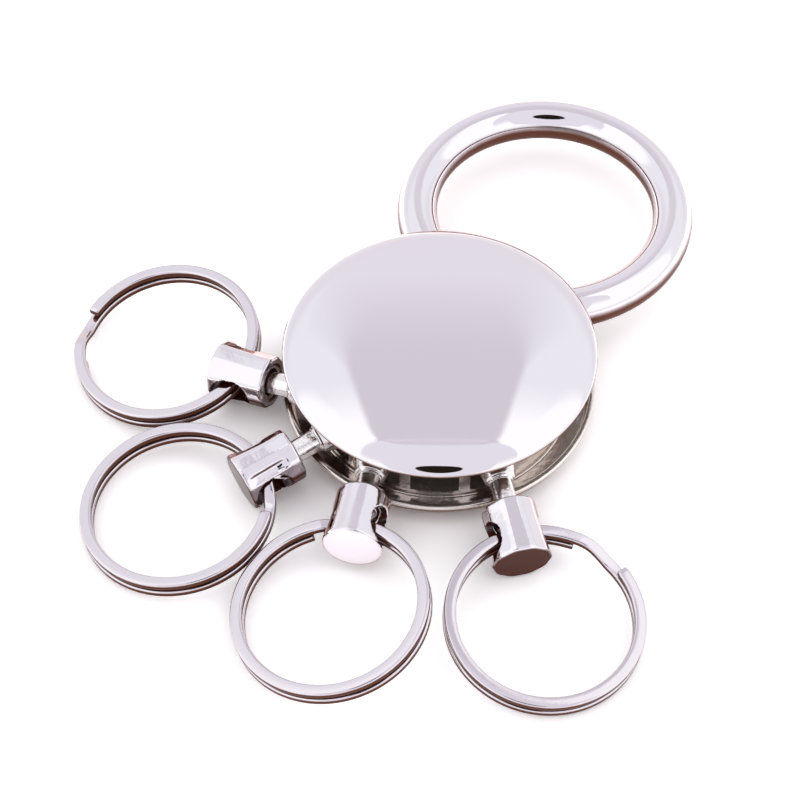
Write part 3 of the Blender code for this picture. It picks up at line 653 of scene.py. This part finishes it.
# Each of these finishes is painted darker on its sides that look down: painted shade.
plain_steel = plated_metal(
    "pressed_steel", (0.6, 0.59, 0.58, 1), (0.4, 0.36, 0.33, 1), (-0.9, 0.2), (0.28, 0.42),
    scratch=0.1, skin=(0.4, 0.01),
)
spring_steel = plated_metal(
    "spring_steel", (0.5, 0.5, 0.52, 1), (0.3, 0.29, 0.3, 1), (-0.9, 0.2), (0.22, 0.35), scratch=0.08
)
button_plating = plated_metal(
    "button_plating", (0.76, 0.74, 0.75, 1), (0.5, 0.42, 0.37, 1), (-1.1, 0.3), (0.1, 0.22), scratch=0.06
)
screw_steel = plated_metal(
    "screw_steel", (0.62, 0.6, 0.56, 1), (0.42, 0.37, 0.32, 1), (-1.1, 0.3), (0.2, 0.34), scratch=0.1
)


def wire_between(name, rows):
    """A closed wire whose skin runs through the rows of points, in mm, with a flat face at each end."""
    build = bmesh.new()
    rows = [[build.verts.new(Vector(spot) * MM) for spot in row] for row in rows]
    for first, second in zip(rows, rows[1:]):
        for k in range(len(first)):
            n = (k + 1) % len(first)
            build.faces.new((first[k], first[n], second[n], second[k]))
    build.faces.new(rows[0])
    build.faces.new(rows[-1])
    bmesh.ops.recalc_face_normals(build, faces=build.faces)
    for face in build.faces:
        face.smooth = len(face.verts) == 4
    return in_scene(name, build)


def wire_row(radius, around, level, section):
    """The points of a wire's section, at an angle round a coil. section gives (across, up) pairs."""
    return [
        ((radius + across) * math.cos(around), (radius + across) * math.sin(around), level + up)
        for across, up in section
    ]


round_section = []
for n in range(SPRING_SIDES):
    angle = 2 * math.pi * n / SPRING_SIDES
    round_section.append((SPRING_WIRE * math.cos(angle), SPRING_WIRE * math.sin(angle)))
spring_low, spring_high = SPRING_BOTTOM + SPRING_WIRE, SPRING_TOP - SPRING_WIRE
spring_count = SPRING_STEPS * SPRING_TURNS
spring_rows = []
for k in range(spring_count + 1):
    level = spring_low + (spring_high - spring_low) * k / spring_count
    spring_rows.append(wire_row(SPRING_RADIUS, 2 * math.pi * k / SPRING_STEPS, level, round_section))
spring = wire_between("coil_spring", spring_rows)
finish_piece(spring, spring_steel, "base", "return_spring")
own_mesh(spring)
for node_name, surface, slot_name in (
    ("retaining_plate", plain_steel, "inner_metal"),
    ("cap_backing_plate", plain_steel, "inner_metal"),
    ("centre_post", plain_steel, "inner_metal"),
    ("push_button", button_plating, "button_metal"),
    ("button_screw", screw_steel, "screw_metal"),
):
    node = cad_nodes[node_name]
    node.data.materials.clear()
    node.data.materials.append(surface)

# Domed cap
# A pressed shallow dome with a rolled rim, polished to a mirror. It is riveted to the post and
# lifts with it.
CAP_TOP = 12.9
CAP_RIM = 9.6
CAP_SHEET = 0.9
DOME_CURVE = 95.0
ROLL_START = 16.9
ROLL_REACH = 3.1
ROLL_DROP = 0.95
INNER_REACH = 17.2
LEDGE_REACH = 18.75
LEDGE_LEVEL = 10.2
DOME_ROWS = 24
ROLL_ROWS = 20
INNER_ROWS = 12
# The cap's rolled rim and the sides that look down get painted brown shade, which also stands for a brown
# table's reflection.
cap_plating = plated_metal(
    "cap_plating", BRIGHT, (0.24, 0.12, 0.08, 1), (0.2, 0.66), (0.03, 0.06), scratch=0.015, gap_darkening=(0.001, 0.6)
)


def dome(radius, sink=0.0):
    return Vector((radius, CAP_TOP - DOME_CURVE - sink + math.sqrt(DOME_CURVE**2 - radius**2)))


def rolled(radius):
    """The dome, drawn down to the rim in the press over its last 3 mm."""
    share = max(0, (radius - ROLL_START) / ROLL_REACH)
    return Vector((radius, dome(radius).y - ROLL_DROP * (1 - math.sqrt(1 - share**2))))


cap_line = [rolled(ROLL_START * k / DOME_ROWS) for k in range(DOME_ROWS + 1)]
for k in range(1, ROLL_ROWS):
    cap_line.append(rolled(ROLL_START + ROLL_REACH * math.sin(math.pi / 2 * k / ROLL_ROWS)))
cap_line += rounded(
    [
        (20.0, 9.86, 0), (19.96, 9.7, 0.1), (19.7, CAP_RIM, 0.12), (19.3, CAP_RIM, 0.2),
        (LEDGE_REACH, CAP_RIM, 0.1), (LEDGE_REACH, LEDGE_LEVEL, 0.1), (INNER_REACH, LEDGE_LEVEL, 0.15),
        (*dome(INNER_REACH, CAP_SHEET), 0),
    ],
    closed=False,
)
cap_line += [dome(INNER_REACH * k / INNER_ROWS, CAP_SHEET) for k in range(INNER_ROWS - 1, -1, -1)]
cap = turned("domed_cap", cap_line, closed=False, steps=FINE_STEPS)
finish_piece(cap, cap_plating, "cap", "dome_cap")

# Studs
# Cast pins with a flared head that hooks behind the lip, a slightly flat-sided stem and a riveted
# end inside the barrel. The plating lies over a rough casting.
PIVOT_REACH = 18.3
PIVOT_LEVEL = 5.4
PIVOT_OFFSET = 1.4
STEM = 1.45
STUD_STEPS = 72
FLATS_FROM = 0.6
FLATS_RUN = 0.6
FLATS_END = 5.3
FLAT_SHARE = 0.955
# for each stud: its seat's angle, its own, its droop and its barrel's turn in degrees, and how far
# out the barrel lies along the stem in mm
STUD_LAYS = (
    (218, 184, 9, -9, 3.6),
    (244, 239, 8.6, -9, 4.0),
    (270, 287.5, 1, 16.5, 3.6),
    (322, 311, 7.5, -9, 4.4),
)
# The studs' sides that look down get painted brown shade, which also stands for a brown table's reflection.
stud_plating = plated_metal(
    "stud_plating", (0.9, 0.86, 0.87, 1), (0.16, 0.085, 0.06, 1), (-0.5, 0.1), (0.16, 0.28),
    skin=(0.55, 0.04), gap_darkening=(0.0008, 0.5),
)
stud_places = []
for seat_angle, stud_angle, droop, swivel, slide in STUD_LAYS:
    seat_turn = math.radians(seat_angle)
    level = PIVOT_LEVEL + PIVOT_OFFSET * math.tan(math.radians(droop))
    pivot = Vector((PIVOT_REACH * math.cos(seat_turn), PIVOT_REACH * math.sin(seat_turn), level))
    lay = Euler((0, math.radians(90 + droop), math.radians(stud_angle))).to_matrix().to_4x4()
    stud_places.append((pivot, lay, slide, swivel))


def flat_sided(radius, height, angle):
    """Round at the head and the riveted end, with four soft flats along the stem."""
    share = min(max((height - FLATS_FROM) / FLATS_RUN, 0), 1) * (0 if height > FLATS_END else 1)
    swell = min(1, FLAT_SHARE / max(abs(math.cos(angle)), abs(math.sin(angle))))
    return radius * (1 - share + share * swell), height


stud_line = rounded(
    [
        (0, 5.8, 0), (2.0, 5.8, 0.15), (2.0, 5.35, 0.1), (STEM, 5.35, 0.05), (STEM, 3.6, 0), (STEM, 2.4, 0),
        (STEM, 1.3, 0), (STEM, 0.85, 0.1), (1.62, 0.78, 0.08), (1.66, 0.6, 0.1), (1.93, 0.42, 0.15),
        (2.27, -0.9, 0.6), (2.58, -1.75, 0.6), (2.3, -2.35, 0.5), (1.6, -2.85, 0.5), (0.7, -3.2, 0.3),
        (0, -3.28, 0),
    ],
    closed=False,
)
for i, (pivot, lay, slide, swivel) in enumerate(stud_places):
    stud = turned(f"stud_casting_{i + 1}", stud_line, closed=False, steps=STUD_STEPS, shape=flat_sided)
    stud.data.transform(Matrix.Translation(pivot * MM) @ lay)
    finish_piece(stud, stud_plating, f"pin_{i + 1}", f"stud_pin_{i + 1}")

# Swivel barrels
# Cast sleeves that turn on the studs' stems, a little wider towards the outer end, with a cross
# hole for the split ring and a shallow socket round the stem. Each has its own painted brown shade
# on the sides that look down, which also stands for a brown table's reflection.
CLEAN_BARREL = (0.84, 0.8, 0.85, 1)
SHADED_BARREL = (0.085, 0.016, 0.005, 1)
PALE_SHADED_BARREL = (0.2, 0.1, 0.07, 1)
BROWN_GLEAM = (0.72, 0.46, 0.36, 1)
# for each barrel: the colour of the painted shade on its sides that look down, which also stands for a brown
# table's reflection, and the upward parts of the normal where that shade is full and where it has gone
BARREL_SHADES = (
    (SHADED_BARREL, (-0.12, 0.36)),
    (SHADED_BARREL, (0.0, 0.72)),
    (PALE_SHADED_BARREL, (-0.6, -0.08)),
    (SHADED_BARREL, (-0.1, 0.48)),
)
# for each barrel: the angle of its first flat, how deep its flats are, and the angle of its dent
BARREL_FLATS = ((0.1, 0.975, None), (0.2, 0.975, 2.55), (0.0, 1.0, None), (0.16, 0.975, None))
FLAT_COUNT = 10
FLATS_OUTSIDE = 2.9
DENT_DEPTH = 0.36
DENT_HALF_WIDTH = 0.62
DENT_SLOPE = 0.16
DENT_FROM = 2.2
DENT_TO = 7.0
DENT_END_SLOPE = 0.3
BARREL_STEPS = 160
BARREL_LENGTH = 7.7
BARREL_BORE = 2.3
SOCKET_DEPTH = 0.25
SOCKET_WALL = 0.75
STEM_HOLE = 1.75
BARREL_GRAIN = 0.1
POLISH_STRENGTH = 0.5
POLISH_PASSES = 6
HOLE_PLACE = 4.7
HOLE_RADIUS = 2.3
HOLE_STRETCH = 0.4
HOLE_TOOL_LENGTH = 16
HOLE_STEPS = 96
barrel_platings = []
for i, (brown, shade_ends) in enumerate(BARREL_SHADES):
    plating = plated_metal(
        f"barrel_plating_{i + 1}", CLEAN_BARREL, brown, shade_ends, (0.06, 0.15),
        skin=(1.7, 0.04), gap_darkening=(0.0014, 0.85), gleam=BROWN_GLEAM,
    )
    barrel_platings.append(plating)
barrel_line = rounded(
    [
        (0, BARREL_LENGTH, 0), (2.0, BARREL_LENGTH, 0), (3.78, BARREL_LENGTH, 0.35), (3.74, 6.9, 0),
        (3.68, 6.2, 0), (3.6, 5.2, 0), (3.54, 4.2, 0), (3.47, 3.2, 0), (3.44, 2.4, 0), (3.42, 1.6, 0),
        (3.42, 0.9, 0), (3.42, 0, 0.5), (2.4, 0, 0.12), (2.4, SOCKET_DEPTH, 0.1),
        (STEM_HOLE, SOCKET_DEPTH, 0.05), (STEM_HOLE, SOCKET_WALL, 0), (BARREL_BORE, SOCKET_WALL, 0),
        (BARREL_BORE, HOLE_PLACE, 0), (0, HOLE_PLACE, 0),
    ],
    closed=False,
)


def long_flats(first_flat, flat_depth, dent):
    """Soft flats along the barrel, as the polishing wheel leaves them, and the mould's dent in one."""
    pitch = 2 * math.pi / FLAT_COUNT

    def shape(radius, height, angle):
        if radius < FLATS_OUTSIDE:
            return radius, height
        off_flat = (angle - first_flat + pitch / 2) % pitch - pitch / 2
        size = radius * min(1, flat_depth / math.cos(off_flat))
        if dent is not None and DENT_FROM < height < DENT_TO:
            off_dent = abs((angle - dent + math.pi) % (2 * math.pi) - math.pi) * radius
            across = min(1, max(0, (DENT_HALF_WIDTH - off_dent) / DENT_SLOPE))
            end_shares = (DENT_TO - height) / DENT_END_SLOPE, (height - DENT_FROM) / DENT_END_SLOPE
            size -= DENT_DEPTH * across * min(1, *end_shares)
        return size, height

    return shape


def cross_hole_tool():
    """A bar across the barrel, stretched along it to make the hole a slot with round ends."""
    tool = round_tool("cross_hole", Matrix.Identity(4), HOLE_RADIUS, HOLE_TOOL_LENGTH, HOLE_STEPS)
    for corner in tool.data.vertices:
        if abs(corner.co.y) > ON_AXIS:
            corner.co.y += math.copysign(HOLE_STRETCH * MM, corner.co.y)
    lying = Matrix.Translation((0, 0, HOLE_PLACE * MM)) @ Matrix.Rotation(math.pi / 2, 4, "X")
    tool.data.transform(lying)
    return tool


for i, (pivot, lay, slide, swivel) in enumerate(stud_places):
    shape = long_flats(*BARREL_FLATS[i])
    barrel = turned(f"barrel_casting_{i + 1}", barrel_line, closed=False, steps=BARREL_STEPS, shape=shape)
    cut_away(barrel, [cross_hole_tool()])
    # a fine remesh, made in mm, rounds each edge like a casting's
    barrel.data.transform(Matrix.Scale(1 / MM, 4))
    skin = barrel.modifiers.new("cast_skin", "REMESH")
    skin.mode = "VOXEL"
    skin.voxel_size = BARREL_GRAIN
    skin.use_smooth_shade = True
    settle(barrel)
    polish = barrel.modifiers.new("polish", "SMOOTH")
    polish.factor = POLISH_STRENGTH
    polish.iterations = POLISH_PASSES
    settle(barrel)
    for face in barrel.data.polygons:
        face.use_smooth = True
    barrel.data.transform(Matrix.Scale(MM, 4))
    along = Matrix.Translation((0, 0, slide * MM))
    spin = Matrix.Rotation(math.radians(swivel), 4, "Z")
    barrel.data.transform(Matrix.Translation(pivot * MM) @ lay @ along @ spin)
    finish_piece(barrel, barrel_platings[i], f"barrel_{i + 1}", f"swivel_barrel_{i + 1}")

# Split rings
# Two stacked turns of flat spring wire with rounded edges. The upper turn's blunt end lies just
# before the place where the lower wire climbs beside it.
RING_RADIUS = 11.5
WIRE_WIDTH = 1.5
WIRE_HEIGHT = 1.0
WIRE_ROUNDING = 0.34
WIRE_LEVEL = 0.735
WIRE_START = 28
WIRE_END = 713
WIRE_STEPS = 236
CLIMB = 22
BLUNT_RUN = 0.5
BLUNT_SHARES = (0.82, 0.97)
# for each ring: its angle, how far its middle lies from the cross hole in mm, its tilt and roll,
# and the angle where its wire's ends are
RING_LAYS = (
    (178.3, 11.4, 5.02, -7, 186),
    (232.82, 11.37, 6.7, 1.5, 25),
    (283.3, 11.55, 5.4, 9.5, 103),
    (315.09, 10.92, 6.9, -2, 70),
)
# The rings' sides that look down get painted brown shade, which also stands for a brown table's reflection.
ring_plating = plated_metal(
    "ring_plating", (0.76, 0.71, 0.765, 1), (0.12, 0.036, 0.018, 1), (0.12, 0.6), (0.07, 0.13),
    scratch=0.04, skin=(4.0, 0.012), gap_darkening=(0.0007, 0.9), gleam=BROWN_GLEAM,
)


def wire_level(angle):
    """Height of the wire's middle: the lower turn, the climb, then the upper turn."""
    if angle <= 360:
        return -WIRE_LEVEL
    if angle >= 360 + CLIMB:
        return WIRE_LEVEL
    share = (angle - 360) / CLIMB
    return WIRE_LEVEL * (2 * share * share * (3 - 2 * share) - 1)


def split_ring(name):
    side, top = WIRE_WIDTH / 2, WIRE_HEIGHT / 2
    corners = [(side, top), (-side, top), (-side, -top), (side, -top)]
    section = rounded([(*corner, WIRE_ROUNDING) for corner in corners], steps=6)
    turns = [WIRE_START + (WIRE_END - WIRE_START) * k / WIRE_STEPS for k in range(WIRE_STEPS + 1)]
    outer, inner = BLUNT_SHARES
    sizes = [(turns[0], outer), (turns[0] + BLUNT_RUN, inner)]
    sizes += [(angle, 1) for angle in turns[1:-1]]
    sizes += [(turns[-1] - BLUNT_RUN, inner), (turns[-1], outer)]
    rows = []
    for angle, size in sizes:
        sized = [(across * size, up * size) for across, up in section]
        rows.append(wire_row(RING_RADIUS, math.radians(angle), wire_level(angle), sized))
    return wire_between(name, rows)


for i, (ring_angle, reach, tilt, roll, ends) in enumerate(RING_LAYS):
    pivot, lay, slide, swivel = stud_places[i]
    hole = pivot + lay.to_3x3() @ Vector((0, 0, slide + HOLE_PLACE))
    ring = split_ring(f"key_wire_{i + 1}")
    hang = Euler((math.radians(roll), math.radians(tilt), math.radians(ring_angle))).to_matrix().to_4x4()
    out = Matrix.Translation((reach * MM, 0, 0)) @ Matrix.Rotation(math.radians(ends - ring_angle), 4, "Z")
    ring.data.transform(Matrix.Translation(hole * MM) @ hang @ out)
    finish_piece(ring, ring_plating, f"ring_{i + 1}", f"split_ring_{i + 1}")
